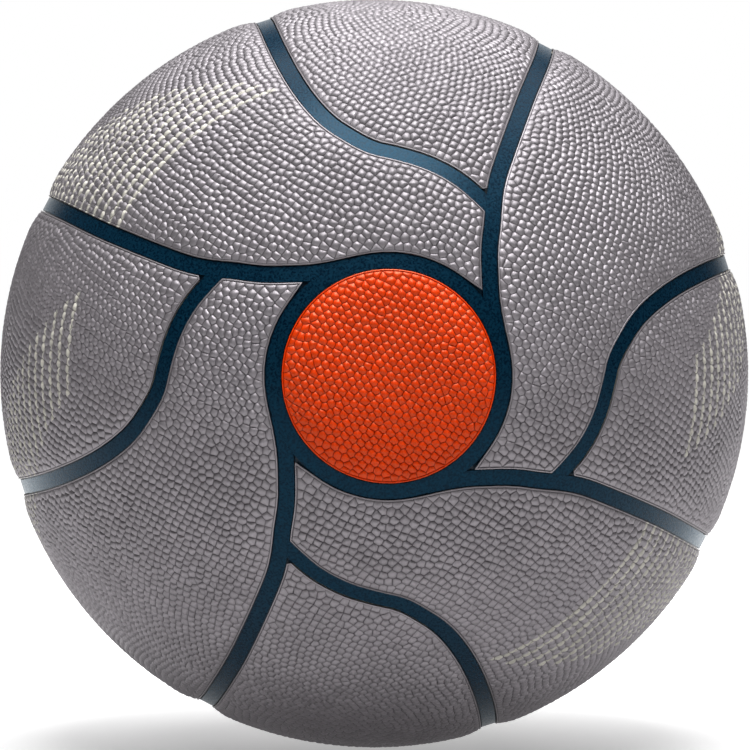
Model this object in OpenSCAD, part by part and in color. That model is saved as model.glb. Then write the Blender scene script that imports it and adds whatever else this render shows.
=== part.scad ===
// Basketball with a pinwheel cover. Two round disc panels and eight long swirl panels
// lie on their own foam pads. Rubber strips between them are the floor of the channels.
// Under these come a rubber carcass, a nylon winding and a butyl bladder with its valve.
// The ball is centred on the origin, +Z is up and the front disc faces -Y.
// The valve is on +Y, in the middle of the back disc.
// Places on the ball are angles: a turn about the disc axis, counted anticlockwise from +X
// as seen from the front, and a tilt away from the middle of the front disc.

/* [Ball] */
// Diameter over the crown of the cover
ball_d = 243; // [200:1:300]
// Turn of the first arm where it crosses the equator, in degrees
swirl_turn = 62.7; // [0:0.1:90]

/* [Cover] */
// Thickness of the cover panels at their crown
cover_t = 1.5; // [1.3:0.1:2.5]
// Thickness that the cover panels keep at their edge
cover_edge_t = 0.4; // [0.2:0.05:0.8]
// Width of the rounded border of each cover panel
roll_w = 8; // [4:0.5:12]
// Diameter of the round disc panels across their edge
disc_d = 63.2; // [56:0.2:72]
// Width of the channels between the cover panels
channel_w = 5.4; // [4:0.1:7]
// Extra width of the round channels at the root of each arm
flare_w = 0.9; // [0:0.1:1.4]
// Width of the blunt point at the tip of each swirl panel
tip_w = 1.4; // [1:0.1:3]

/* [Layers] */
// Thickness of the foam pads under the cover
foam_t = 1; // [0.6:0.1:3]
// Thickness of the rubber carcass
carcass_t = 1.6; // [1:0.1:3]
// Thickness of the nylon winding
winding_t = 0.7; // [0.4:0.1:1.5]
// Wall of the butyl bladder
bladder_t = 0.8; // [0.5:0.1:1.5]
// Glue line between one layer and the next
bond_gap = 0.05; // [0.02:0.01:0.1]
// Gap on each side of a strip, to the cover edge beside it
side_gap = 0.4; // [0.2:0.05:0.6]

/* [Valve] */
// Diameter of the housing where it passes through the layers
housing_d = 11; // [9.5:0.1:14]
// Diameter of the housing's flange inside the bladder
flange_d = 28; // [20:0.5:40]
// Thickness of the flange
flange_t = 1.2; // [0.8:0.1:2.5]
// Wall at the bottom of the housing
housing_floor = 1.5; // [1:0.1:3]
// Diameter of the valve plug's shank
plug_d = 5.5; // [4.5:0.1:6.5]
// Length of the valve plug's shank
plug_len = 14; // [11:0.5:20]
// Diameter of the valve plug's head
plug_head_d = 7.4; // [6.8:0.1:8.2]
// Thickness of the valve plug's head
plug_head_t = 1.2; // [0.8:0.1:2]
// Depth of the head's face below the crown of the cover
plug_recess = 0.6; // [0.2:0.1:1]
// Running clearance of the plug in its housing, on the radius
plug_clear = 0.05; // [0.02:0.01:0.1]
// Gap round the plug's head in the cover
head_gap = 0.3; // [0.2:0.05:0.6]
// Diameter of the needle's lead-in bore
needle_d = 2.1; // [1.6:0.1:2.4]
// Depth of the needle's lead-in bore
needle_depth = 9; // [5:0.5:10]

/* [Hidden] */
$fn = 256;

// Radii of the layers, from the crown inwards
ball_r = ball_d / 2;
cover_in_r = ball_r - cover_t;
foam_out_r = cover_in_r - bond_gap;
foam_in_r = foam_out_r - foam_t;
carcass_r = foam_in_r - bond_gap;
winding_r = carcass_r - carcass_t - bond_gap;
bladder_r = winding_r - winding_t - bond_gap;
bladder_in_r = bladder_r - bladder_t;
// Cutting wedges end this far outside the ball, as a multiple of its radius
wedge_share = 1.25;
wedge_r = ball_r * wedge_share;

// Tilts of the disc's edge, the ring channel's middle and its outer edge
quarter = 90;
half_w = channel_w / 2;
half_angle = asin(half_w / ball_r);
disc_tilt = asin(disc_d / 2 / ball_r);
ring_tilt = disc_tilt + half_angle;
ring_out_tilt = ring_tilt + half_angle;
// Foam pads stop short of the cover's edge by as much as the strips do on the other side
gap_angle = asin(side_gap / ball_r);
// Half widths between two foam pads and of a strip
foam_w = half_w + side_gap;
strip_w = half_w - side_gap;
// Tilt at which an arm's strip meets the ring's strip
butt_tilt = ring_out_tilt - gap_angle + asin(bond_gap / ball_r);

// The swirl is drawn with an arm's crossing of the equator at turn 0, and is turned later.
// Each route runs from the front ring to the equator. A row holds the turn, in degrees, and
// the share of the way from the ring channel's middle to the equator. The first row of the
// arm only sets its direction.
arm_shares = [
    [-71, 0], [-54.7, 0], [-38.7, 0.005], [-29.9, 0.017], [-22.4, 0.037],
    [-11.9, 0.092], [-7.2, 0.145], [-3.8, 0.196], [-2, 0.246], [-1, 0.321],
    [-0.4, 0.403], [0, 0.511], [0, 0.674], [0, 0.837], [0, 1]
];
branch_shares = [
    [-4.8, 0.173], [0, 0.183], [8, 0.202], [17, 0.219], [26, 0.234], [31, 0.247],
    [35.6, 0.278], [40, 0.328], [42.9, 0.405], [44.4, 0.505], [45, 0.64], [45, 0.82], [45, 1]
];
// Turn of each route's crossing of the equator: the branch's is half way to the next arm
arm_turn = 0;
branch_turn = quarter / 2;
// Stations of the cover and of the strips are this close, as a share of a row of the tables
station_share = 0.5;
strip_station_share = 0.25;
// Places of the columns of a panel's surface between its two long edges
column_shares = [0, 0.035, 0.09, 0.2, 0.35, 0.5, 0.65, 0.8, 0.91, 0.965, 1];
// The flare of a round channel fades out over this share of the way to the next arm
flare_share = 0.2;
// The strip of an arm starts where it stands this far out of the ring's strip
root_w = 0.25;

function unit(v) = v / norm(v);
function place(turn, tilt) = [sin(tilt) * cos(turn), -cos(tilt), sin(tilt) * sin(turn)];
function turn_of(v) = atan2(v.z, v.x);
function tilt_of(v) = acos(-v.y);
// Half turn about the equator's point at this turn, which brings front to back
function flip(v, turn) = 2 * (v * place(turn, quarter)) * place(turn, quarter) - v;
// Quarter turn about the disc axis
function next(v) = [-v.z, v.y, v.x];
function reversed(list) = [for (i = [len(list) - 1:-1:0]) list[i]];
function lerp(a, b, s) = a + (b - a) * s;

// The whole route from front to back: its second half is the first, flipped
function route(shares, turn) = let(
    front = [for (s = shares) place(s[0], lerp(ring_tilt, quarter, s[1]))],
    back = [for (p = reversed(front)) flip(p, turn)]
) concat(front, [for (i = [1:len(back) - 1]) back[i]]);
arm = route(arm_shares, arm_turn);
branch = route(branch_shares, branch_turn);
arm_start = 1;
arm_mid = len(arm_shares) - 1;
branch_mid = len(branch_shares) - 1;

// A smooth curve through the route's points, and its direction of travel
function row(list, i) = list[min(max(i, 0), len(list) - 1)];
function along(list, t) = let(
    i = min(max(floor(t), 0), len(list) - 2),
    f = t - i,
    a = row(list, i - 1),
    b = row(list, i),
    c = row(list, i + 1),
    d = row(list, i + 2)
) unit(b + f * (c - a) / 2 + f * f * (a - 2.5 * b + 2 * c - d / 2)
    + f * f * f * (1.5 * (b - c) + (d - a) / 2));
step_share = 0.01;
function heading(list, t) = unit(along(list, t + step_share) - along(list, t - step_share));
// The point beside the route: side is 1 for left and -1 for right, w a length
function beside(list, t, side, w) =
    let(c = along(list, t)) unit(c + side * w / ball_r * cross(c, heading(list, t)));

// Where a rising function of one value crosses zero
function root(f, low, high, tries = 30) = let(mid = (low + high) / 2)
    tries == 0 ? mid : f(mid) > 0 ? root(f, low, mid, tries - 1) : root(f, mid, high, tries - 1);
// The arm's station nearest to a point, and the distance from the arm's middle to it
function foot(p) = root(function(t) (along(arm, t) - p) * heading(arm, t), arm_start, arm_mid);
function off_arm(p) = ball_r * PI / 180 * 2 * asin(norm(along(arm, foot(p)) - p) / 2);
// Stations where an edge of the arm reaches a tilt, and where a branch's edge meets the arm's
function arm_at(side, w, tilt) =
    root(function(t) tilt_of(beside(arm, t, side, w)) - tilt, arm_start, arm_mid);
function fork(side, w) =
    root(function(t) off_arm(beside(branch, t, side, w)) - w, 0, branch_mid);

// Evenly spaced stations, at least as close as a share or as many as count
function stations(from, to, share = station_share) = let(n = ceil((to - from) / share))
    [for (i = [0:n]) lerp(from, to, i / n)];
function spread(from, to, count) = [for (i = [0:count - 1]) lerp(from, to, i / (count - 1))];
function edge(list, ts, side, w) = [for (t = ts) beside(list, t, side, w)];
function gap_between(a, b) = ball_r * norm(a - b);

// Half of a swirl panel, from the ring to the equator, as pairs of edge points.
// It lies between the first arm with its branch and the next arm.
function ring_half(w) = let(
    fork_t = fork(1, w),
    corner_t = foot(beside(branch, fork_t, 1, w)),
    notch_t = arm_at(1, w, ring_out_tilt + asin((w - half_w + flare_w) / ball_r)),
    lower = edge(arm, stations(notch_t, corner_t), 1, w),
    upper = edge(branch, stations(fork_t, branch_mid), 1, w),
    left = concat([for (i = [0:len(lower) - 2]) lower[i]], upper),
    right = edge(arm, spread(arm_start, arm_mid, len(left)), -1, w)
) [for (i = [0:len(left) - 1]) [left[i], next(right[i])]];

// The other half, from its blunt tip between an arm and its branch to the equator,
// flipped to the back so that it follows on from the first half
function tip_half(w) = let(
    tip_t = fork(-1, w),
    crotch = beside(branch, tip_t, -1, w),
    branch_t = root(function(t) gap_between(beside(branch, t, -1, w), crotch) - tip_w,
        tip_t, branch_mid),
    arm_t = root(function(t) gap_between(beside(arm, t, 1, w), crotch) - tip_w,
        foot(crotch), arm_mid),
    branch_side = edge(branch, stations(branch_t, branch_mid), -1, w),
    arm_side = edge(arm, spread(arm_t, arm_mid, len(branch_side)), 1, w)
) [for (i = [len(branch_side) - 1:-1:0]) [
    flip(branch_side[i], branch_turn), flip(arm_side[i], branch_turn)
]];

// All cross lines of a swirl panel, from the front ring to the tip behind
function swirl_lines(w) = let(tip = tip_half(w))
    concat(ring_half(w), [for (i = [1:len(tip) - 1]) tip[i]]);

// Cross lines of a strip along a route, from a station in front to its flipped twin behind
function strip_lines(list, from, to, turn, w) = let(
    half = [for (t = stations(from, to, strip_station_share))
        [beside(list, t, -1, w), beside(list, t, 1, w)]],
    back = [for (i = [len(half) - 2:-1:0]) [flip(half[i][1], turn), flip(half[i][0], turn)]]
) concat(half, back);
function arm_lines(w) =
    strip_lines(arm, arm_at(-1, strip_w, butt_tilt + asin(root_w / ball_r)), arm_mid, arm_turn, w);

// A point on a cross line, found by turn and tilt so that the first line follows the ring.
// Its tilt changes only in the flare.
function tilt_share(i, s) = i > 0 ? s : 1 - pow(max(1 - s / flare_share, 0), 2);
function across(lines, i, s) = let(a = lines[i][0], b = lines[i][1]) place(
    lerp(turn_of(a), turn_of(b), s),
    lerp(tilt_of(a), tilt_of(b), tilt_share(i, s))
);
// Radius of the cover at a distance from its edge
function cover_r(d) = ball_r - (cover_t - cover_edge_t) * pow(1 - min(max(d, 0) / roll_w, 1), 2);
function surface_point(lines, i, s) = let(
    p = across(lines, i, s),
    ring_d = ball_r * PI / 180 * (tilt_of(p) - ring_out_tilt),
    side_d = min(gap_between(p, lines[i][0]), gap_between(p, lines[i][1]))
) p * cover_r(min(ring_d, side_d));

// A closed body from the ball's centre out to a grid of points, row after row
module sector(rows) {
    m = len(rows);
    n = len(rows[0]);
    points = concat([for (r = rows) each r], [[0, 0, 0]]);
    top = [for (i = [0:m - 2], j = [0:n - 2]) let(a = i * n + j)
        each [[a, a + 1, a + n], [a + 1, a + n + 1, a + n]]];
    sides = concat(
        [for (i = [0:m - 2]) [i * n, (i + 1) * n, m * n]],
        [for (i = [0:m - 2]) [(i + 2) * n - 1, (i + 1) * n - 1, m * n]],
        [for (j = [0:n - 2]) [j + 1, j, m * n]],
        [for (j = [0:n - 2]) [(m - 1) * n + j, (m - 1) * n + j + 1, m * n]]
    );
    polyhedron(points, concat(top, sides));
}

// A wedge from the centre to outside the ball between the two edges of a strip
module wedge(lines) {
    sector([for (pair = lines) [wedge_r * pair[0], wedge_r * pair[1]]]);
}

// The space between two radii
module shell(out_r, in_r) {
    difference() {
        sphere(r = out_r);
        sphere(r = in_r);
    }
}

// A cone about -Y with its point at the centre, as wide as a tilt
module cone(tilt) {
    rotate([quarter, 0, 0])
        rotate_extrude()
            polygon([[0, 0], wedge_r * [sin(tilt), cos(tilt)], [0, wedge_r]]);
}

// Turns a piece made for the front to the back, and the valve's axis to +Y
module to_back() rotate([0, 0, 2 * quarter]) children();
module on_valve_axis(y) translate([0, y, 0]) rotate([-quarter, 0, 0]) children();

// Copies 1 to 4 start at the front ring, and copies 5 to 8 are flipped to the back ring
module place_copy(k) {
    rotate([0, -swirl_turn - quarter * (k - 1), 0])
        rotate([k > 4 ? 2 * quarter : 0, 0, 0])
            children();
}

// Clears the valve housing through a layer
module housing_hole() {
    on_valve_axis(0) cylinder(d = housing_d + 2 * bond_gap, h = wedge_r);
}

// Round cover panel with its border rolled down to the channel
module disc_cover() {
    steps = 24;
    arc = ball_r * disc_tilt * PI / 180;
    rim = [for (i = [0:steps]) let(tilt = disc_tilt * i / steps)
        cover_r(arc * (1 - i / steps)) * [sin(tilt), cos(tilt)]];
    difference() {
        rotate([quarter, 0, 0]) rotate_extrude() polygon(concat([[0, 0]], rim));
        sphere(r = cover_in_r);
    }
}

module disc_pad() {
    intersection() {
        shell(foam_out_r, foam_in_r);
        cone(disc_tilt - gap_angle);
    }
}

module front_disc_panel() {
    color("orangered") disc_cover();
}

module back_disc_panel() {
    color("orangered")
        difference() {
            to_back() disc_cover();
            on_valve_axis(0) cylinder(d = plug_head_d + 2 * head_gap, h = wedge_r);
        }
}

module front_disc_foam() {
    color("ivory") disc_pad();
}

module back_disc_foam() {
    color("ivory")
        difference() {
            to_back() disc_pad();
            housing_hole();
        }
}

// Long cover panel from a ring to a tip on the far side
module swirl_panel(k) {
    lines = swirl_lines(half_w);
    color("silver")
        place_copy(k)
            difference() {
                sector([for (i = [0:len(lines) - 1])
                    [for (s = column_shares) surface_point(lines, i, s)]]);
                sphere(r = cover_in_r);
            }
}

module swirl_foam(k) {
    lines = swirl_lines(foam_w);
    color("ivory")
        place_copy(k)
            intersection() {
                shell(foam_out_r, foam_in_r);
                sector([for (i = [0:len(lines) - 1])
                    [for (s = column_shares) wedge_r * across(lines, i, s)]]);
            }
}

module ring_strip() {
    intersection() {
        shell(cover_in_r, foam_in_r);
        difference() {
            cone(ring_out_tilt - gap_angle);
            cone(disc_tilt + gap_angle);
        }
    }
}

module front_ring_strip() {
    color("midnightblue") ring_strip();
}

module back_ring_strip() {
    color("midnightblue") to_back() ring_strip();
}

// Strip of an arm, from the front ring over the equator to the back ring
module arm_strip(k) {
    color("midnightblue")
        place_copy(k)
            difference() {
                intersection() {
                    shell(cover_in_r, foam_in_r);
                    wedge(arm_lines(strip_w));
                }
                cone(butt_tilt);
                to_back() cone(butt_tilt);
            }
}

// Strip of a branch, from the front arm it leaves to the back arm it joins
module branch_strip(k) {
    color("midnightblue")
        place_copy(k)
            difference() {
                intersection() {
                    shell(cover_in_r, foam_in_r);
                    wedge(strip_lines(branch, 0, branch_mid, branch_turn, strip_w));
                }
                wedge(arm_lines(strip_w + bond_gap));
                rotate(a = 2 * quarter, v = place(branch_turn, quarter))
                    wedge(arm_lines(strip_w + bond_gap));
            }
}

module rubber_carcass() {
    color("dimgray")
        difference() {
            shell(carcass_r, carcass_r - carcass_t);
            housing_hole();
        }
}

module nylon_winding() {
    color("whitesmoke")
        difference() {
            shell(winding_r, winding_r - winding_t);
            housing_hole();
        }
}

module butyl_bladder() {
    color("black")
        difference() {
            shell(bladder_r, bladder_in_r);
            housing_hole();
        }
}

// Heights on the valve's axis, from the plug's face inwards
plug_face_y = ball_r - plug_recess;
head_seat_y = plug_face_y - plug_head_t;
plug_end_y = head_seat_y - plug_len;
housing_top_y = head_seat_y - bond_gap;
housing_bottom_y = plug_end_y - plug_clear - housing_floor;
flange_r = bladder_in_r - bond_gap;

// Rubber boss with a flange that is bonded to the inside of the bladder
module valve_housing() {
    color("black")
        difference() {
            union() {
                on_valve_axis(housing_bottom_y)
                    cylinder(d = housing_d, h = housing_top_y - housing_bottom_y);
                intersection() {
                    shell(flange_r, flange_r - flange_t);
                    on_valve_axis(0) cylinder(d = flange_d, h = wedge_r);
                }
            }
            on_valve_axis(plug_end_y - plug_clear)
                cylinder(d = plug_d + 2 * plug_clear, h = plug_len + plug_head_t);
            on_valve_axis(housing_bottom_y - housing_floor)
                cylinder(d = needle_d, h = plug_len);
        }
}

// Plug that seals on the needle, with a blind lead-in bore
module valve_plug() {
    color("darkslategray")
        difference() {
            union() {
                on_valve_axis(plug_end_y) cylinder(d = plug_d, h = plug_len + plug_head_t);
                on_valve_axis(head_seat_y) cylinder(d = plug_head_d, h = plug_head_t);
            }
            on_valve_axis(plug_face_y - needle_depth) cylinder(d = needle_d, h = 2 * needle_depth);
        }
}

front_disc_panel();
back_disc_panel();
front_disc_foam();
back_disc_foam();
front_ring_strip();
back_ring_strip();
rubber_carcass();
nylon_winding();
butyl_bladder();
valve_housing();
valve_plug();
for (k = [1:8]) swirl_panel(k);
for (k = [1:8]) swirl_foam(k);
for (k = [1:4]) arm_strip(k);
for (k = [1:4]) branch_strip(k);
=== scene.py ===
# Looks of the basketball: pebbled cover panels, rubber channels, layers and valve.
# Everything is in metres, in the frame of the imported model: the ball's centre is the
# origin, +Z is up, the front disc faces -Y and the valve is on +Y.
import math

import bpy
import numpy as np
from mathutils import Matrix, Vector
from mathutils.geometry import delaunay_2d_cdt


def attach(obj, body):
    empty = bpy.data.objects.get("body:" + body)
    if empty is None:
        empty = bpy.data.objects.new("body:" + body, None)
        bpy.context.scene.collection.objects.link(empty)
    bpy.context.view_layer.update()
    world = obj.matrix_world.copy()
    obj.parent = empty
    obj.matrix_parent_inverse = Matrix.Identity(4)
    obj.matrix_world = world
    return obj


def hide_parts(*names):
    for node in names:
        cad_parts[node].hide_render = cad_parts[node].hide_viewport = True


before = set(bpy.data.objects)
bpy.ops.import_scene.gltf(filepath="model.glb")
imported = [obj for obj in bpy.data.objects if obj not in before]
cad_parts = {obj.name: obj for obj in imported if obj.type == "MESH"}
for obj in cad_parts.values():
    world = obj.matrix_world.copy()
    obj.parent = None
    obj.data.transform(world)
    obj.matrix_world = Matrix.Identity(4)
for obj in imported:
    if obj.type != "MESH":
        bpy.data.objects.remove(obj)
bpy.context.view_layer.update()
rng = np.random.default_rng(7)

# Sizes
MM = 0.001
SWIRL_PANELS = [f"swirl_panel_{k}" for k in range(1, 9)]
DISC_PANELS = ["front_disc_panel", "back_disc_panel"]
# Border of the cover that rolls down to the channel
ROLL_W = 8 * MM
# Pebbles: their distance, how far they stray from a regular net as a share of it, and the
# depth between them
SWIRL_PITCH = 2.6 * MM
DISC_PITCH = 2.4 * MM
STRAY_SHARE = 0.17
RELAX_ROUNDS = 5
GROOVE_DEPTH = 0.68 * MM
# No pebble starts nearer the outline than this share of a pitch, and those up to this many
# pitches away are mirrored in it
START_GAP_SHARE = 0.25
MIRROR_PITCHES = 2
# Drop of a pebble's shoulder and of its crown's rim, and how far its shoulder stands in, which
# leaves at least a share of the pebble
SHOULDER_DROP = 0.3 * MM
CROWN_DROP = 0.08 * MM
CORNER_INSET = 0.52 * MM
SIDE_INSET = 0.28 * MM
LEAST_SHARE = 0.35
CROWN_SHARE = 0.54
# Flatter and rounder pebbles: the least and the most by which their drops are multiplied
SWELL = (0.75, 1.15)
# How much of a groove's painted shade a pebble has at its shoulder and at its crown
SHOULDER_GROOVE, CROWN_GROOVE = 0.4, 0.05
# Lightness of what is neither a light nor a dark pebble
MIDDLE_TONE = 0.5
# Smooth rim round a panel: its width, the share of it that stays level, and the most that it
# takes of the way to a pebble's middle
RIM_W = 0.5 * MM
RIM_FLAT_SHARE = 0.6
RIM_REACH_SHARE = 0.45
# Grooves are this shallow at the rim, where the cover is thin, and full at this distance
EDGE_DEPTH_SHARE = 0.45
FULL_DEPTH_AT = 3.0 * MM
# Corners of pebbles nearer than this are one
MERGE_GAP = 0.36 * MM
# The outline turns a corner where it bends by more than this
CORNER_ANGLE = math.radians(35)
OUTLINE_STEP = 0.5 * MM
LEAST_STEPS = 3
# A face of the solid is on its outside where its normal leans outward by more than this cosine
OUTWARD_COSINE = 0.5
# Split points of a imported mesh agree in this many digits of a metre
SAME_DIGITS = 6
# Points of the flat map nearer than this are one
SAME_GAP = 1e-9
# The cover is shaded with an edge where it bends by more than this
SHARP_ANGLE = math.radians(58)


def unit(v):
    return v / np.linalg.norm(v, axis=-1, keepdims=True)


def dot(a, b):
    return np.einsum("...i,...i->...", a, b)


# Outline of a cover panel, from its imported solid
def solid_of(node):
    """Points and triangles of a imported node, with its split points joined again."""
    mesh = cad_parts[node].data
    points = np.empty(3 * len(mesh.vertices), np.float32)
    mesh.vertices.foreach_get("co", points)
    mesh.calc_loop_triangles()
    triangles = np.empty(3 * len(mesh.loop_triangles), np.int32)
    mesh.loop_triangles.foreach_get("vertices", triangles)
    points = np.round(points.reshape(-1, 3).astype(float), SAME_DIGITS)
    points, same = np.unique(points, axis=0, return_inverse=True)
    triangles = same.ravel()[triangles].reshape(-1, 3)
    a, b, c = triangles.T
    return points, triangles[(a != b) & (b != c) & (c != a)]


def border_loops(triangles):
    """Closed border lines of a surface, as lists of point numbers."""
    sides = {(int(t[i]), int(t[i - 2])) for t in triangles for i in range(3)}
    following = {a: b for a, b in sides if (b, a) not in sides}
    loops = []
    while following:
        start, end = following.popitem()
        loop = [start]
        while end != start:
            loop.append(end)
            end = following.pop(end)
        loops.append(loop)
    return loops


def curve_through(points, closed):
    """Directions every OUTLINE_STEP on a smooth curve through the points."""
    if closed:
        points = np.vstack([points[-2:], points, points[:3]])
    lengths = np.linalg.norm(np.diff(points, axis=0), axis=1)
    secants = np.diff(points, axis=0) / lengths[:, None]
    before, after = lengths[:-1, None], lengths[1:, None]
    middle = (secants[:-1] * after + secants[1:] * before) / (before + after)
    tangents = np.vstack([secants[:1], middle, secants[-1:]])
    at = np.concatenate([[0], np.cumsum(lengths)])
    start, end = (at[2], at[-3]) if closed else (0, at[-1])
    steps = max(int(math.ceil((end - start) / OUTLINE_STEP)), LEAST_STEPS)
    t = np.linspace(start, end, steps + 1)
    i = np.clip(np.searchsorted(at, t, side="right") - 1, 0, len(lengths) - 1)
    h = lengths[i, None]
    u = (t - at[i])[:, None] / h
    return unit(
        points[i] * (1 + 2 * u) * (1 - u) ** 2
        + tangents[i] * h * u * (1 - u) ** 2
        + points[i + 1] * u * u * (3 - 2 * u)
        - tangents[i + 1] * h * u * u * (1 - u)
    )


def sides_of(loop_points):
    """Smooth sides of a closed line between its corners. They follow each other anticlockwise."""
    ahead = unit(np.roll(loop_points, -1, axis=0) - loop_points)
    bend = np.arccos(np.clip(dot(ahead, np.roll(ahead, 1, axis=0)), -1, 1))
    corners = np.flatnonzero(bend > CORNER_ANGLE)
    if len(corners) == 0:
        return [curve_through(loop_points, True)]
    sides = []
    for start, end in zip(corners, np.roll(corners, -1)):
        count = (end - start) % len(loop_points) or len(loop_points)
        picked = (start + np.arange(count + 1)) % len(loop_points)
        sides.append(curve_through(loop_points[picked], False))
    return sides


class Panel:
    """A cover panel's outline on the ball, and a flat map of it."""

    def __init__(self, node, pitch):
        self.pitch = pitch
        points, triangles = solid_of(node)
        a, b, c = (points[triangles[:, i]] for i in range(3))
        across = np.cross(b - a, c - a)
        area = np.linalg.norm(across, axis=1)
        outer = triangles[dot(across, unit(a + b + c)) > area * OUTWARD_COSINE]
        loops = [points[loop] for loop in border_loops(outer)]
        self.edge_r = np.linalg.norm(loops[0], axis=1).mean()
        self.inner_r = np.linalg.norm(points, axis=1).min()
        self.loops = [sides_of(loop) for loop in loops]
        self.sides = [side for sides in self.loops for side in sides]
        self.corners = [s[0] for sides in self.loops if len(sides) > 1 for s in sides]
        self.centre = unit(np.vstack(self.sides).mean(axis=0))
        self.right = unit(np.cross([0, 0, 1], self.centre))
        self.up = np.cross(self.centre, self.right)
        self.lines = [self.flat(np.vstack([side[:-1] for side in sides])) for sides in self.loops]

    def flat(self, points):
        """Stereographic map about the panel's centre. It keeps circles circles."""
        scale = 2 / (1 + points @ self.centre)
        return np.stack([points @ self.right * scale, points @ self.up * scale], axis=-1)

    def holds(self, points):
        """Whether each point is inside the outline."""
        x, y = self.flat(points).T[:, :, None]
        found = np.zeros(len(points), bool)
        for line in self.lines:
            (x0, y0), (x1, y1) = line.T, np.roll(line, -1, axis=0).T
            crossing = (y0 > y) != (y1 > y)
            with np.errstate(divide="ignore", invalid="ignore"):
                left = x < x0 + (y - y0) * (x1 - x0) / (y1 - y0)
            found ^= (crossing & left).sum(axis=1) % 2 == 1
        return found

    def foot(self, points):
        """Nearest point of the outline and the distance to it in metres."""
        best, best_gap = None, None
        for side in self.sides:
            foot, _, gap = foot_on(side, points)
            if best is None:
                best, best_gap = foot, gap
            nearer = gap < best_gap
            best = np.where(nearer[:, None], foot, best)
            best_gap = np.where(nearer, gap, best_gap)
        return best, best_gap * BALL_R


def foot_on(side, points):
    """Nearest point on a side, the side's direction there, and the distance on the unit ball."""
    index = np.argmax(points @ side.T, axis=1)
    ahead = unit(np.gradient(side, axis=0))[index]
    near = side[index]
    step = np.linalg.norm(side[1] - side[0])
    low = np.where(index == 0, 0, -step)
    high = np.where(index == len(side) - 1, 0, step)
    along = np.clip(dot(points - near, ahead), low, high)
    foot = unit(near + along[:, None] * ahead)
    return foot, ahead, np.linalg.norm(points - foot, axis=1)


# Pebbles
def ball_lattice(pitch):
    """Evenly spread directions, a pebble apart, on the whole ball."""
    count = int(4 * math.pi * BALL_R ** 2 / (pitch ** 2 * math.sqrt(3) / 2))
    i = np.arange(count) + 0.5
    turn = math.pi * (3 - math.sqrt(5)) * i
    z = 1 - 2 * i / count
    flat = np.sqrt(1 - z * z)
    return np.stack([flat * np.cos(turn), flat * np.sin(turn), z], axis=-1)


def mirrored(panel, seeds):
    """Mirror images of the seeds near the outline, so that cells end on it."""
    reach = MIRROR_PITCHES * panel.pitch / BALL_R
    found = []
    for side in panel.sides:
        foot, ahead, gap = foot_on(side, seeds)
        near = gap < reach
        normal = unit(np.cross(foot[near], ahead[near]))
        inner = seeds[near]
        found.append(inner - 2 * dot(inner, normal)[:, None] * normal)
    for corner in panel.corners:
        near = seeds[np.linalg.norm(seeds - corner, axis=1) < reach]
        found.append(2 * (near @ corner)[:, None] * corner - near)
    ghosts = np.vstack(found)
    return ghosts[~panel.holds(ghosts)]


def cells_around(panel, seeds):
    """Voronoi cells of the seeds: their corners, which of them lie on the outline, and the
    pairs of seed and corner, anticlockwise round each seed."""
    points = np.vstack([seeds, mirrored(panel, seeds)])
    flat = [Vector(p) for p in panel.flat(points)]
    _, _, faces, sources, _, _ = delaunay_2d_cdt(flat, [], [], 0, SAME_GAP, True)
    source = np.array([numbers[0] for numbers in sources])
    triangles = source[np.array(faces)]
    triangles = triangles[(triangles < len(seeds)).any(axis=1)]
    a, b, c = (points[triangles[:, i]] for i in range(3))
    corners = unit(np.cross(b - a, c - a))
    corners *= np.sign(dot(corners, a))[:, None]
    border = (triangles >= len(seeds)).any(axis=1)
    owner = triangles.ravel()
    corner = np.repeat(np.arange(len(triangles)), 3)
    kept = owner < len(seeds)
    owner, corner = owner[kept], corner[kept]
    middle = seeds[owner]
    east = unit(np.cross(middle, panel.up))
    north = np.cross(middle, east)
    angle = np.arctan2(dot(corners[corner], north), dot(corners[corner], east))
    order = np.lexsort((angle, owner))
    return corners, border, owner[order], corner[order]


def relaxed_seeds(panel):
    """Seeds of a panel's pebbles: an even net, disturbed and then eased."""
    seeds = ball_lattice(panel.pitch)
    seeds = seeds[seeds @ panel.centre > 0]
    seeds = seeds[panel.holds(seeds)]
    seeds = unit(seeds + rng.normal(size=seeds.shape) * STRAY_SHARE * panel.pitch / BALL_R)
    seeds = seeds[panel.holds(seeds)]
    seeds = seeds[panel.foot(seeds)[1] > panel.pitch * START_GAP_SHARE]
    for _ in range(RELAX_ROUNDS):
        corners, _, owner, corner = cells_around(panel, seeds)
        here, ahead, middle = corners[corner], corners[following_of(owner, corner)], seeds[owner]
        weight = np.linalg.norm(np.cross(here - middle, ahead - middle), axis=1)
        pull = (here + ahead + middle) * weight[:, None]
        seeds = unit(np.stack([np.bincount(owner, pull[:, i]) for i in range(3)], axis=-1))
    return seeds


def following_of(owner, corner):
    """The next corner round the same seed, for each pair of seed and corner."""
    last = np.append(owner[1:] != owner[:-1], True)
    first = np.append(0, np.flatnonzero(last)[:-1] + 1)
    following = np.append(corner[1:], 0)
    following[last] = corner[first]
    return following


def joined_corners(corners, border, owner, corner):
    """Puts corners that nearly touch together, and gives each corner the number of its stand-in."""
    stand_in = np.arange(len(corners))
    following = following_of(owner, corner)
    close = np.linalg.norm(corners[corner] - corners[following], axis=1) < MERGE_GAP / BALL_R
    for a, b in zip(corner[close], following[close]):
        while stand_in[a] != a:
            a = stand_in[a]
        while stand_in[b] != b:
            b = stand_in[b]
        if a == b:
            continue
        keep, drop = (a, b) if border[a] or not border[b] else (b, a)
        stand_in[drop] = keep
    while (stand_in != stand_in[stand_in]).any():
        stand_in = stand_in[stand_in]
    return stand_in


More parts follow.
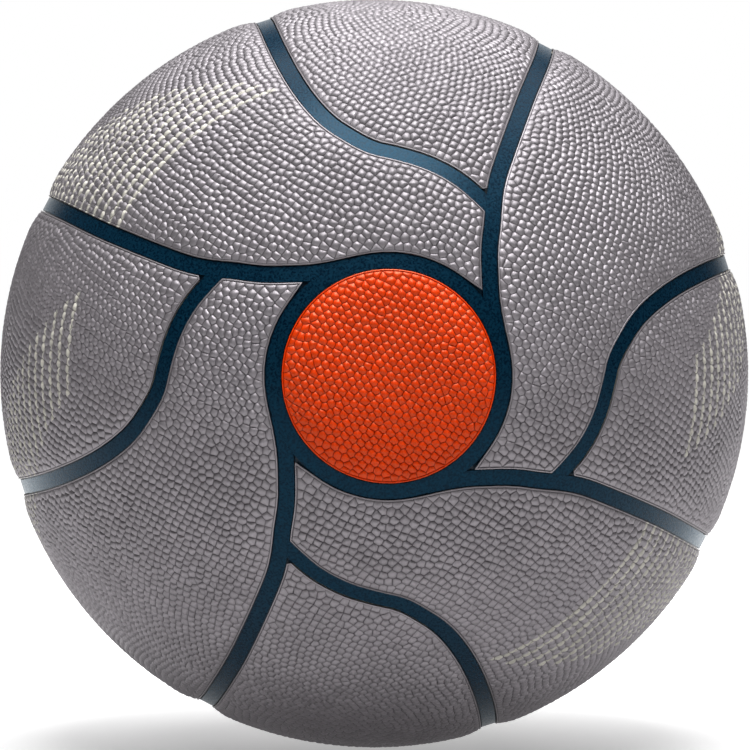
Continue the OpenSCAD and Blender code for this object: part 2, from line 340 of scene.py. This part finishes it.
def pebble_cells(panel):
    """Final corners of a panel's pebbles and, for each pebble, the numbers of its corners."""
    corners, border, owner, corner = cells_around(panel, relaxed_seeds(panel))
    corners[border] = panel.foot(corners[border])[0]
    for place in panel.corners:
        gaps = np.where(border, np.linalg.norm(corners - place, axis=1), np.inf)
        corners[np.argmin(gaps)] = place
    stand_in = joined_corners(corners, border, owner, corner)
    loops = np.split(stand_in[corner], np.flatnonzero(np.diff(owner)) + 1)
    cells = []
    for loop in loops:
        loop = loop[loop != np.roll(loop, 1)]
        if len(set(loop)) > 2:
            cells.append(loop)
    used, index = np.unique(np.concatenate(cells), return_inverse=True)
    cells = np.split(index.ravel(), np.cumsum([len(c) for c in cells])[:-1])
    return corners[used], border[used], cells


class Shell:
    """Grows a closed mesh: points, with how deep in a groove and how light each is, and triangles."""

    def __init__(self, panel):
        self.panel = panel
        self.points, self.groove, self.tone = [], [], []
        self.triangles = []
        self.count = 0

    def add(self, directions, edge_gap, drop, groove, tone):
        """Adds points at the cover's radius less their drop. Returns their numbers."""
        shape = directions.shape[:-1]
        inward = np.clip(edge_gap / FULL_DEPTH_AT, 0, 1)
        depth_share = EDGE_DEPTH_SHARE + (1 - EDGE_DEPTH_SHARE) * inward
        radius = cover_r(self.panel, edge_gap) - drop * depth_share
        self.points.append((unit(directions) * radius[..., None]).reshape(-1, 3))
        self.groove.append(np.broadcast_to(groove, shape).ravel())
        self.tone.append(np.broadcast_to(tone, shape).ravel())
        numbers = np.arange(self.count, self.count + int(np.prod(shape))).reshape(shape)
        self.count += numbers.size
        return numbers

    def skin(self, *corners):
        """Adds triangles whose corner numbers are given as three arrays of one shape."""
        self.triangles.append(np.stack([c.ravel() for c in np.broadcast_arrays(*corners)], axis=-1))


def cover_r(panel, edge_gap):
    """Radius of the cover at a distance from the panel's edge, as in the solid."""
    short = 1 - np.clip(edge_gap / ROLL_W, 0, 1)
    return BALL_R - (BALL_R - panel.edge_r) * short ** 2


def open_edges(cells):
    """Sides of pebbles that lie on the outline, as pairs of corners in anticlockwise order."""
    edges = {(int(a), int(b)) for c in cells for a, b in zip(c, np.roll(c, -1))}
    return np.array([(a, b) for a, b in sorted(edges) if (b, a) not in edges])


def rim_steps(panel, corners, cells, edges):
    """Steps from each corner on the outline to the inner side of the rim, and zero elsewhere."""
    reach = np.full(len(corners), RIM_W)
    middles = unit(np.array([corners[c].mean(axis=0) for c in cells]))
    for cell, gap in zip(cells, panel.foot(middles)[1]):
        reach[cell] = np.minimum(reach[cell], gap * RIM_REACH_SHARE)
    a, b = edges.T
    normal = unit(np.cross(corners[a], corners[b]))
    total = np.zeros_like(corners)
    np.add.at(total, a, normal)
    np.add.at(total, b, normal)
    # The sum of two sides' normals is short at a sharp corner. Its square counts as this at least.
    least_square = 0.8
    stretch = 2 / np.maximum(dot(total, total), least_square)
    return total * (stretch * reach / BALL_R)[:, None]


def add_rim(shell, corners, steps, border, edges, corner_at):
    """Adds the smooth rim between the outline and the outermost pebbles. Returns its outer points."""
    count = int(border.sum())
    flat_steps = steps[border] * RIM_FLAT_SHARE
    flat_gap = np.linalg.norm(flat_steps, axis=1) * BALL_R
    edge_at = np.full(len(corners), -1)
    flat_at = np.full(len(corners), -1)
    edge_at[border] = shell.add(corners[border], np.zeros(count), 0, 0, MIDDLE_TONE)
    flat_at[border] = shell.add(corners[border] + flat_steps, flat_gap, 0, 0, MIDDLE_TONE)
    a, b = edges.T
    for outer, inner in ((edge_at, flat_at), (flat_at, corner_at)):
        shell.skin(outer[a], outer[b], inner[b])
        shell.skin(outer[a], inner[b], inner[a])
    return edge_at


def add_pebbles(shell, corner_gap, corner_at, directions, rings):
    """Adds all pebbles with the same number of corners, each a dome of three rings."""
    panel = shell.panel
    side = directions[rings]
    gap = corner_gap[rings]
    centre = unit(side.mean(axis=1))
    centre_gap = panel.foot(centre)[1]
    count = len(rings)
    tone = rng.random(count)
    swell = rng.uniform(*SWELL, count)[:, None]
    crest = rng.uniform(0, CROWN_DROP, count)

    def inward(outer, outer_gap, inset):
        reach = np.linalg.norm(outer - centre[:, None], axis=-1) * BALL_R
        share = np.clip(1 - inset / reach, LEAST_SHARE, 1)
        place = centre[:, None] + (outer - centre[:, None]) * share[..., None]
        return place, centre_gap[:, None] + (outer_gap - centre_gap[:, None]) * share

    middle = (side + np.roll(side, -1, axis=1)) / 2
    middle_gap = (gap + np.roll(gap, -1, axis=1)) / 2
    shoulder, shoulder_gap = inward(side, gap, CORNER_INSET)
    flank, flank_gap = inward(middle, middle_gap, SIDE_INSET)
    crown = centre[:, None] + (shoulder - centre[:, None]) * CROWN_SHARE
    crown_gap = centre_gap[:, None] + (shoulder_gap - centre_gap[:, None]) * CROWN_SHARE
    each = tone[:, None]
    low = SHOULDER_DROP * swell + crest[:, None]
    high = CROWN_DROP * swell + crest[:, None]
    foot_at = corner_at[rings]
    shoulder_at = shell.add(shoulder, shoulder_gap, low, SHOULDER_GROOVE, each)
    flank_at = shell.add(flank, flank_gap, low, SHOULDER_GROOVE, each)
    crown_at = shell.add(crown, crown_gap, high, CROWN_GROOVE, each)
    top_at = shell.add(centre, centre_gap, crest, 0, tone)[:, None]
    rows = (foot_at, shoulder_at, crown_at)
    next_foot, next_shoulder, next_crown = (np.roll(row, -1, axis=1) for row in rows)
    shell.skin(foot_at, next_foot, flank_at)
    shell.skin(foot_at, flank_at, shoulder_at)
    shell.skin(next_foot, next_shoulder, flank_at)
    shell.skin(shoulder_at, flank_at, crown_at)
    shell.skin(flank_at, next_crown, crown_at)
    shell.skin(flank_at, next_shoulder, next_crown)
    shell.skin(crown_at, next_crown, top_at)


def add_inside(shell, corners, cells, rim, edge_at):
    """Adds the wall round the edge and then the smooth inside. Returns the wall's triangle count."""
    inner_at = np.arange(shell.count, shell.count + len(corners))
    shell.points.append(corners * shell.panel.inner_r)
    # The wall round the edge and the inside get a groove's full painted shade
    shell.groove.append(np.ones(len(corners)))
    shell.tone.append(np.full(len(corners), MIDDLE_TONE))
    a, b = rim.T
    shell.skin(edge_at[a], inner_at[a], inner_at[b])
    shell.skin(edge_at[a], inner_at[b], edge_at[b])
    for cell in cells:
        ring = inner_at[cell]
        shell.skin(np.full(len(ring) - 2, ring[0]), ring[2:], ring[1:-1])
    return 2 * len(rim)


def build_panel(node, name, pitch):
    """A cover panel with its pebbles: domes outside, a smooth inside and a wall round its edge."""
    panel = Panel(node, pitch)
    corners, border, cells = pebble_cells(panel)
    rim = open_edges(cells)
    steps = rim_steps(panel, corners, cells, rim)
    directions = unit(corners + steps)
    gap = panel.foot(directions)[1]
    shell = Shell(panel)
    corner_at = shell.add(directions, gap, np.full(len(gap), GROOVE_DEPTH), 1, MIDDLE_TONE)
    edge_at = add_rim(shell, corners, steps, border, rim, corner_at)
    for size in sorted({len(c) for c in cells}):
        rings = np.array([c for c in cells if len(c) == size])
        add_pebbles(shell, gap, corner_at, directions, rings)
    outer_count = sum(len(t) for t in shell.triangles)
    wall_count = add_inside(shell, corners, cells, rim, edge_at)
    points = np.vstack(shell.points)
    triangles = np.vstack(shell.triangles)
    piece = mesh_piece(name, points, triangles)
    for key, values in (("groove", shell.groove), ("tone", shell.tone)):
        layer = piece.data.attributes.new(key, "FLOAT", "POINT")
        layer.data.foreach_set("value", np.concatenate(values).astype(np.float32))
    piece.data.set_sharp_from_angle(angle=SHARP_ANGLE)
    add_bake_map(piece, panel, points, triangles, outer_count, wall_count)
    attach(piece, "ball")
    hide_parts(node)
    return piece


def add_bake_map(piece, panel, points, triangles, outer_count, wall_count):
    """A map of the outside, with the wall as a hem round it and the inside small beside it."""
    outer_share, inner_share = 0.9, 0.07
    inner_place = [0.92, 0.01]
    flat = panel.flat(unit(points))
    low, high = flat.min(axis=0), flat.max(axis=0)
    place = (flat - low) / (high - low).max()
    spots = place[triangles] * outer_share
    walls = slice(outer_count, outer_count + wall_count)
    depth = 1 - np.linalg.norm(points[triangles[walls]], axis=-1) / panel.edge_r
    outward = unit(place[triangles[walls]] - place.mean(axis=0))
    spots[walls] += outward * depth[..., None]
    inside = slice(outer_count + wall_count, None)
    spots[inside] = place[triangles[inside]] * inner_share + inner_place
    layer = piece.data.uv_layers.new(name="OFBake")
    layer.data.foreach_set("uv", spots.astype(np.float32).ravel())


def mesh_piece(name, points, triangles):
    """A new object of triangles, smooth and at the origin."""
    mesh = bpy.data.meshes.new(name)
    mesh.vertices.add(len(points))
    mesh.vertices.foreach_set("co", points.astype(np.float32).ravel())
    mesh.loops.add(triangles.size)
    mesh.loops.foreach_set("vertex_index", triangles.astype(np.int32).ravel())
    mesh.polygons.add(len(triangles))
    mesh.polygons.foreach_set("loop_start", np.arange(0, triangles.size, 3, dtype=np.int32))
    mesh.update(calc_edges=True)
    mesh.shade_smooth()
    piece = bpy.data.objects.new(name, mesh)
    bpy.context.scene.collection.objects.link(piece)
    return piece


# Materials. Scales of noise are in features per metre, and colours are linear.
GRAIN_SCALE = 2600.0
GRAIN_DETAIL = 4.0
GRAIN_ROUGHNESS = 0.6
CLOUD_SCALE = 45.0
# Noise hardly leaves this range
NOISE_LOW, NOISE_HIGH = 0.3, 0.7
# Shares by which pebbles, and clouds over many pebbles, are lighter or darker
PEBBLE_TONE = 0.07
CLOUD_TONE = 0.06
# Painted groove shade, partly darker leather under the paint, begins at this share of a groove's depth
GROOVE_SHADE_FROM = 0.6
GROOVE_SHADE_SHARE = 0.95
COVER_GRAIN = 0.045 * MM
# Tints colour the gloss: the orange has a warm one and the navy a bluish one
SILVER = (0.25, 0.232, 0.248, 1)
# Painted shade in the silver's grooves, partly the darker leather under the paint
SILVER_GROOVE_SHADE = (0.085, 0.077, 0.085, 1)
SILVER_METAL = 0.7
SILVER_ROUGH = (0.46, 0.58)
STRIPE_CREAM = (0.6, 0.575, 0.51, 1)
ORANGE = (0.73, 0.042, 0.0003, 1)
# Painted shade in the orange's grooves, partly the darker leather under the paint
ORANGE_GROOVE_SHADE = (0.24, 0.011, 0.0003, 1)
ORANGE_GLOSS = 0.46
ORANGE_TINT = (1, 0.72, 0.42, 1)
ORANGE_ROUGH = (0.3, 0.4)
# Moulded rubber of the channels
NAVY = (0.0004, 0.008, 0.02, 1)
NAVY_PALE = (0.002, 0.026, 0.052, 1)
NAVY_METAL = 0.12
NAVY_GLOSS = 0.17
NAVY_TINT = (0.38, 0.7, 0.92, 1)
NAVY_ROUGH = (0.24, 0.36)
SATIN_SCALE = 1500.0
SATIN_DETAIL = 2.0
SATIN_GRAIN = 0.07 * MM
# Rubbers inside the ball: the carcass is moulded in the colour of the channels
INNER_ROUGH = (0.3, 0.42)
INNER_GLOSS = 0.25
CARCASS_NAVY = (0.001, 0.011, 0.024, 1)
CARCASS_PALE = (0.003, 0.026, 0.05, 1)
BLADDER_BLACK = (0.015, 0.015, 0.015, 1)
BLADDER_PALE = (0.03, 0.03, 0.03, 1)
VALVE_BLACK = (0.02, 0.02, 0.021, 1)
VALVE_PALE = (0.035, 0.035, 0.035, 1)
# Nylon yarn
YARN_SCALE = 320.0
YARN_WAVER = 1.5
# Each lay of yarn is turned by one of these, times a share for each axis
YARN_TURNS = (0.3, 1.4, 2.5)
YARN_TURN_SHARES = (1.0, 0.7, 1.3)
YARN_HEIGHT = 0.2 * MM
YARN_ROUGH = 0.6
YARN_DARK = (0.4, 0.38, 0.32, 1)
YARN_PALE = (0.82, 0.8, 0.74, 1)
# Foam
PORE_SCALE = 1400.0
PORE_DEPTH = 0.1 * MM
FOAM_ROUGH = 0.85
FOAM_DARK = (0.5, 0.46, 0.38, 1)
FOAM_PALE = (0.8, 0.76, 0.66, 1)
# Pinstripes flank two opposite arms. Tilts and turns are in degrees about the disc axis, and
# turns are counted from the arm. The stripes' ends are slanted: their turn grows with the tilt.
STRIPE_PITCH = 2.35
STRIPE_SHARE = 0.28
STRIPE_BLUR = 0.06
STRIPE_ARM = 332.7
STRIPE_TILT = 50.0
# They repeat every half turn, so a turn is counted up to a quarter to either side
STRIPE_QUARTER = 90.0
# Long stripes end on the arm; short ones lie beyond it, clear of it and from a higher tilt
LONG_FROM_TILT = 48.8
LONG_SLANT = 1.05
LONG_START = -41.9
SHORT_FROM_TILT = 51.2
SHORT_SLANT = 0.85
SHORT_START, SHORT_END = 10.2, 29.0


def new_material(name):
    """A material with its nodes and its shader."""
    material = bpy.data.materials.new(name)
    material.use_nodes = True
    tree = material.node_tree
    return material, tree, tree.nodes["Principled BSDF"]


def node_of(tree, kind, inputs=None, **settings):
    """A new node with its settings and inputs. An input is a value or another node's output."""
    made = tree.nodes.new(kind)
    for key, value in settings.items():
        setattr(made, key, value)
    for key, value in (inputs or {}).items():
        feed(tree, made.inputs[key], value)
    return made


def feed(tree, socket, value):
    """Links an output to a socket or sets a plain value on it."""
    if isinstance(value, bpy.types.NodeSocket):
        tree.links.new(value, socket)
    else:
        socket.default_value = value


def math_of(tree, operation, *values):
    node = node_of(tree, "ShaderNodeMath", dict(enumerate(values)), operation=operation)
    return node.outputs[0]


def ranged(tree, value, low, high, to_low, to_high):
    """Value mapped smoothly from one range to another."""
    inputs = {"Value": value, "From Min": low, "From Max": high, "To Min": to_low, "To Max": to_high}
    return node_of(tree, "ShaderNodeMapRange", inputs, interpolation_type="SMOOTHSTEP").outputs[0]


def spread_noise(tree, noise, to_low, to_high):
    """Noise stretched from its own range to another."""
    return ranged(tree, noise, NOISE_LOW, NOISE_HIGH, to_low, to_high)


def mixed(tree, share, a, b, blend="MIX"):
    """Mix of two colours."""
    node = node_of(tree, "ShaderNodeMix", data_type="RGBA", blend_type=blend)
    for key, value in (("Factor", share), ("A", a), ("B", b)):
        feed(tree, next(s for s in node.inputs if s.name == key and s.enabled), value)
    return next(s for s in node.outputs if s.enabled)


def object_place(tree):
    return node_of(tree, "ShaderNodeTexCoord").outputs["Object"]


def noise_of(tree, scale, detail=3.0, roughness=0.5):
    inputs = {"Vector": object_place(tree), "Scale": scale, "Detail": detail, "Roughness": roughness}
    return node_of(tree, "ShaderNodeTexNoise", inputs).outputs["Fac"]


def add_bump(tree, shader, height, depth):
    bump = node_of(tree, "ShaderNodeBump", {"Height": height, "Distance": depth})
    tree.links.new(bump.outputs["Normal"], shader.inputs["Normal"])


def attribute_of(tree, name):
    return node_of(tree, "ShaderNodeAttribute", attribute_name=name).outputs["Fac"]


def cover_material(name, base, groove_shade, rough, stripes=None):
    """Pebbled cover: pebbles a little lighter or darker, and painted groove shade, partly darker
    leather.
    """
    material, tree, shader = new_material(name)
    pebble = ranged(tree, attribute_of(tree, "tone"), 0, 1, -PEBBLE_TONE, PEBBLE_TONE)
    cloud = spread_noise(tree, noise_of(tree, CLOUD_SCALE), 1 - CLOUD_TONE, 1 + CLOUD_TONE)
    colour = base
    if stripes:
        mask = stripe_mask(tree)
        colour = mixed(tree, mask, base, stripes)
        tree.links.new(ranged(tree, mask, 0, 1, SILVER_METAL, 0), shader.inputs["Metallic"])
    colour = mixed(tree, 1.0, colour, math_of(tree, "ADD", pebble, cloud), "MULTIPLY")
    # Painted shade deep in the grooves, partly the darker leather under the paint
    groove_shade_share = ranged(tree, attribute_of(tree, "groove"), GROOVE_SHADE_FROM, 1, 0, GROOVE_SHADE_SHARE)
    tree.links.new(mixed(tree, groove_shade_share, colour, groove_shade), shader.inputs["Base Color"])
    grain = noise_of(tree, GRAIN_SCALE, GRAIN_DETAIL, GRAIN_ROUGHNESS)
    tree.links.new(spread_noise(tree, grain, *rough), shader.inputs["Roughness"])
    add_bump(tree, shader, grain, COVER_GRAIN)
    return material, shader


def stripe_mask(tree):
    """Thin parallel stripes round the disc axis, with slanted ends, beside two opposite arms."""
    x, y, z = node_of(tree, "ShaderNodeSeparateXYZ", {"Vector": object_place(tree)}).outputs
    across = math_of(tree, "SQRT", math_of(tree, "ADD", product(tree, x, x), product(tree, z, z)))
    # Tilt from the nearer disc, less the one that the slants are counted from
    tilt = math_of(tree, "DEGREES", math_of(tree, "ARCTAN2", across, math_of(tree, "ABSOLUTE", y)))
    steps = math_of(tree, "SUBTRACT", tilt, STRIPE_TILT)
    phase = math_of(tree, "PINGPONG", steps, STRIPE_PITCH / 2)
    inner = STRIPE_PITCH * (STRIPE_SHARE / 2 - STRIPE_BLUR)
    outer = STRIPE_PITCH * (STRIPE_SHARE / 2 + STRIPE_BLUR)
    line = ranged(tree, phase, inner, outer, 1, 0)
    # Turn past the nearer of the two arms. It runs the other way on the back.
    turn = math_of(tree, "DEGREES", math_of(tree, "ARCTAN2", z, x))
    front = math_of(tree, "SIGN", product(tree, y, -1.0))
    past = product(tree, math_of(tree, "SUBTRACT", turn, STRIPE_ARM), front)
    past = math_of(tree, "WRAP", past, STRIPE_QUARTER, -STRIPE_QUARTER)
    long_turn = math_of(tree, "SUBTRACT", past, product(tree, steps, LONG_SLANT))
    long_ones = product(
        tree,
        math_of(tree, "GREATER_THAN", long_turn, LONG_START),
        math_of(tree, "LESS_THAN", past, 0.0),
        math_of(tree, "GREATER_THAN", tilt, LONG_FROM_TILT),
    )
    short_turn = math_of(tree, "SUBTRACT", past, product(tree, steps, SHORT_SLANT))
    short_ones = product(
        tree,
        math_of(tree, "GREATER_THAN", short_turn, SHORT_START),
        math_of(tree, "LESS_THAN", short_turn, SHORT_END),
        math_of(tree, "GREATER_THAN", tilt, SHORT_FROM_TILT),
    )
    return product(tree, line, math_of(tree, "ADD", long_ones, short_ones))


def product(tree, first, *others):
    for value in others:
        first = math_of(tree, "MULTIPLY", first, value)
    return first


def rubber_material(name, base, pale, rough, gloss):
    """Moulded rubber with a fine satin grain that is lighter on its high spots."""
    material, tree, shader = new_material(name)
    grain = noise_of(tree, SATIN_SCALE, SATIN_DETAIL)
    worn = spread_noise(tree, grain, 0, 1)
    tree.links.new(mixed(tree, worn, base, pale), shader.inputs["Base Color"])
    tree.links.new(spread_noise(tree, grain, *rough), shader.inputs["Roughness"])
    add_bump(tree, shader, grain, SATIN_GRAIN)
    shader.inputs["Specular IOR Level"].default_value = gloss
    return material, shader


def inner_rubber(name, base, pale):
    return rubber_material(name, base, pale, INNER_ROUGH, INNER_GLOSS)[0]


def winding_material():
    """Nylon yarn, wound over the bladder in all directions."""
    material, tree, shader = new_material("nylon_winding")
    yarn = 0.0
    for turn in YARN_TURNS:
        rotation = [share * turn for share in YARN_TURN_SHARES]
        inputs = {"Vector": object_place(tree), "Rotation": rotation}
        turned = node_of(tree, "ShaderNodeMapping", inputs).outputs[0]
        inputs = {"Vector": turned, "Scale": YARN_SCALE, "Distortion": YARN_WAVER}
        wave = node_of(tree, "ShaderNodeTexWave", inputs).outputs["Fac"]
        yarn = math_of(tree, "MAXIMUM", wave, yarn)
    tree.links.new(mixed(tree, yarn, YARN_DARK, YARN_PALE), shader.inputs["Base Color"])
    shader.inputs["Roughness"].default_value = YARN_ROUGH
    add_bump(tree, shader, yarn, YARN_HEIGHT)
    return material


def foam_material():
    """Closed-cell foam with fine pores."""
    material, tree, shader = new_material("foam")
    inputs = {"Vector": object_place(tree), "Scale": PORE_SCALE}
    pores = node_of(tree, "ShaderNodeTexVoronoi", inputs).outputs["Distance"]
    tree.links.new(mixed(tree, pores, FOAM_DARK, FOAM_PALE), shader.inputs["Base Color"])
    shader.inputs["Roughness"].default_value = FOAM_ROUGH
    add_bump(tree, shader, pores, PORE_DEPTH)
    return material


def make_materials():
    """All materials, by the slot that each fills."""
    silver, _ = cover_material("swirl_cover", SILVER, SILVER_GROOVE_SHADE, SILVER_ROUGH, STRIPE_CREAM)
    orange, shader = cover_material("disc_cover", ORANGE, ORANGE_GROOVE_SHADE, ORANGE_ROUGH)
    shader.inputs["Specular IOR Level"].default_value = ORANGE_GLOSS
    shader.inputs["Specular Tint"].default_value = ORANGE_TINT
    channel, shader = rubber_material("channel_rubber", NAVY, NAVY_PALE, NAVY_ROUGH, NAVY_GLOSS)
    shader.inputs["Metallic"].default_value = NAVY_METAL
    shader.inputs["Specular Tint"].default_value = NAVY_TINT
    return {
        "swirl_cover": silver,
        "disc_cover": orange,
        "channel_rubber": channel,
        "foam": foam_material(),
        "carcass_rubber": inner_rubber("carcass_rubber", CARCASS_NAVY, CARCASS_PALE),
        "winding": winding_material(),
        "bladder": inner_rubber("bladder", BLADDER_BLACK, BLADDER_PALE),
        "valve_rubber": inner_rubber("valve_rubber", VALVE_BLACK, VALVE_PALE),
    }


# Slot of a carried-over node, by a word in its name
NODE_SLOTS = {
    "foam": "foam",
    "strip": "channel_rubber",
    "carcass": "carcass_rubber",
    "winding": "winding",
    "bladder": "bladder",
    "valve": "valve_rubber",
}


def dress_nodes(materials):
    """Gives each carried-over node the material of its slot."""
    for name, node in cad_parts.items():
        if name in SWIRL_PANELS + DISC_PANELS:
            continue
        key = next(slot for word, slot in NODE_SLOTS.items() if word in name)
        for slot in node.material_slots:
            slot.material = materials[key]


# Studio
WHITE = (1, 1, 1, 1)
# The floor glows a little in front of the ball and fully behind it, measured along Y, which
# keeps it white beyond the ball's shadow. Its bounce is the grey that it lights the ball with.
FLOOR_SIZE = 6.0
FLOOR_PALE = (0.75, 0.75, 0.75, 1)
FLOOR_BOUNCE = (0.5, 0.5, 0.5, 1)
FLOOR_NEAR, FLOOR_FAR = -0.15, 0.3
FLOOR_GLOW_NEAR = 0.2
# The backdrop is white straight behind the ball, where a direction's Y is high, in a dim room
BACKDROP_FROM, BACKDROP_TO = 0.8, 0.95
ROOM_LIGHT = 0.06
# Lamps: place, size and power
KEY = ((0.02, -0.34, 1.0), (0.65, 0.65), 15.5)
TOP_SOFTBOX = ((0.08, -0.16, 1.1), (2.6, 1.8), 14)
BACK_TOP = ((0.05, 0.12, 1.0), (1.2, 0.6), 3)
# Camera of the photograph: direction from the ball, distance in radii, and in pixels the
# picture's side, the focal length and the ball's centre
VIEW_FROM = (-0.0369, -0.9993, 0.0067)
VIEW_RADII = 9
PICTURE_PX = 750
FOCAL_PX = 3347
BALL_PX = (374.2, 373.5)
SENSOR_MM = 36
CLIP_NEAR, CLIP_FAR = 0.01, 50


def add_lamp(name, place, size, power):
    """A rectangular lamp that faces the ball."""
    light = bpy.data.lights.new(name, "AREA")
    light.shape = "RECTANGLE"
    light.size, light.size_y = size
    light.energy = power
    lamp = bpy.data.objects.new(name, light)
    lamp.location = place
    lamp.rotation_euler = (-Vector(place)).to_track_quat("-Z", "Y").to_euler()
    bpy.context.scene.collection.objects.link(lamp)


def make_lights():
    """A key above and in front, a large softbox overhead and a smaller one behind its middle."""
    add_lamp("key", *KEY)
    add_lamp("top_softbox", *TOP_SOFTBOX)
    add_lamp("back_top", *BACK_TOP)


def make_floor():
    """Pale floor: white to the camera with the ball's shadow on it, and a soft grey for bounces."""
    mesh = bpy.data.meshes.new("floor")
    sides = ((-1, -1), (1, -1), (1, 1), (-1, 1))
    corners = [(x * FLOOR_SIZE, y * FLOOR_SIZE, -BALL_R) for x, y in sides]
    mesh.from_pydata(corners, [], [(0, 1, 2, 3)])
    floor = bpy.data.objects.new("floor", mesh)
    bpy.context.scene.collection.objects.link(floor)
    material = bpy.data.materials.new("floor")
    material.use_nodes = True
    tree = material.node_tree
    tree.nodes.clear()
    behind = node_of(tree, "ShaderNodeSeparateXYZ", {"Vector": object_place(tree)}).outputs["Y"]
    strength = ranged(tree, behind, FLOOR_NEAR, FLOOR_FAR, FLOOR_GLOW_NEAR, 1.0)
    grey = node_of(tree, "ShaderNodeBsdfDiffuse", {"Color": FLOOR_BOUNCE})
    pale = node_of(tree, "ShaderNodeBsdfDiffuse", {"Color": FLOOR_PALE})
    glow = node_of(tree, "ShaderNodeEmission", {"Color": WHITE, "Strength": strength})
    both = node_of(tree, "ShaderNodeAddShader", {0: pale.outputs[0], 1: glow.outputs[0]})
    looks = {0: sharp_rays(tree), 1: grey.outputs[0], 2: both.outputs[0]}
    mix = node_of(tree, "ShaderNodeMixShader", looks)
    node_of(tree, "ShaderNodeOutputMaterial", {"Surface": mix.outputs[0]})
    mesh.materials.append(material)


def sharp_rays(tree):
    """One for camera, glossy and transmission rays, which show the background, and zero for others."""
    seen = node_of(tree, "ShaderNodeLightPath").outputs
    mirrored_or_seen = math_of(tree, "MAXIMUM", seen["Is Camera Ray"], seen["Is Glossy Ray"])
    return math_of(tree, "MAXIMUM", mirrored_or_seen, seen["Is Transmission Ray"])


def make_world():
    """A white backdrop behind the ball in a dim room, which gives a soft light of its own."""
    world = bpy.data.worlds.new("studio")
    world.use_nodes = True
    tree = world.node_tree
    tree.nodes.clear()
    towards = node_of(tree, "ShaderNodeTexCoord").outputs["Generated"]
    y = node_of(tree, "ShaderNodeSeparateXYZ", {"Vector": towards}).outputs["Y"]
    strength = ranged(tree, y, BACKDROP_FROM, BACKDROP_TO, ROOM_LIGHT, 1.0)
    room = node_of(tree, "ShaderNodeBackground", {"Color": WHITE, "Strength": strength})
    node_of(tree, "ShaderNodeOutputWorld", {"Surface": room.outputs[0]})
    bpy.context.scene.world = world


def make_camera():
    """The photograph's view, nearly level, with the ball filling the frame."""
    direction = Vector(VIEW_FROM).normalized()
    camera = bpy.data.cameras.new("camera")
    camera.sensor_width = SENSOR_MM
    camera.lens = FOCAL_PX / PICTURE_PX * SENSOR_MM
    camera.shift_x = 0.5 - BALL_PX[0] / PICTURE_PX
    camera.shift_y = BALL_PX[1] / PICTURE_PX - 0.5
    camera.clip_start, camera.clip_end = CLIP_NEAR, CLIP_FAR
    view = bpy.data.objects.new("camera", camera)
    view.location = direction * VIEW_RADII * BALL_R
    view.rotation_euler = (-direction).to_track_quat("-Z", "Y").to_euler()
    bpy.context.scene.collection.objects.link(view)
    bpy.context.scene.camera = view


BALL_R = float(np.linalg.norm(solid_of("front_disc_panel")[0], axis=1).max())

materials = make_materials()
for node in SWIRL_PANELS + DISC_PANELS:
    slot, pitch = ("swirl_cover", SWIRL_PITCH) if node in SWIRL_PANELS else ("disc_cover", DISC_PITCH)
    piece = build_panel(node, node.replace("panel", "cover"), pitch)
    piece.data.materials.append(materials[slot])
dress_nodes(materials)
make_camera()
make_floor()
make_world()
make_lights()
bpy.context.scene.view_settings.view_transform = "Standard"
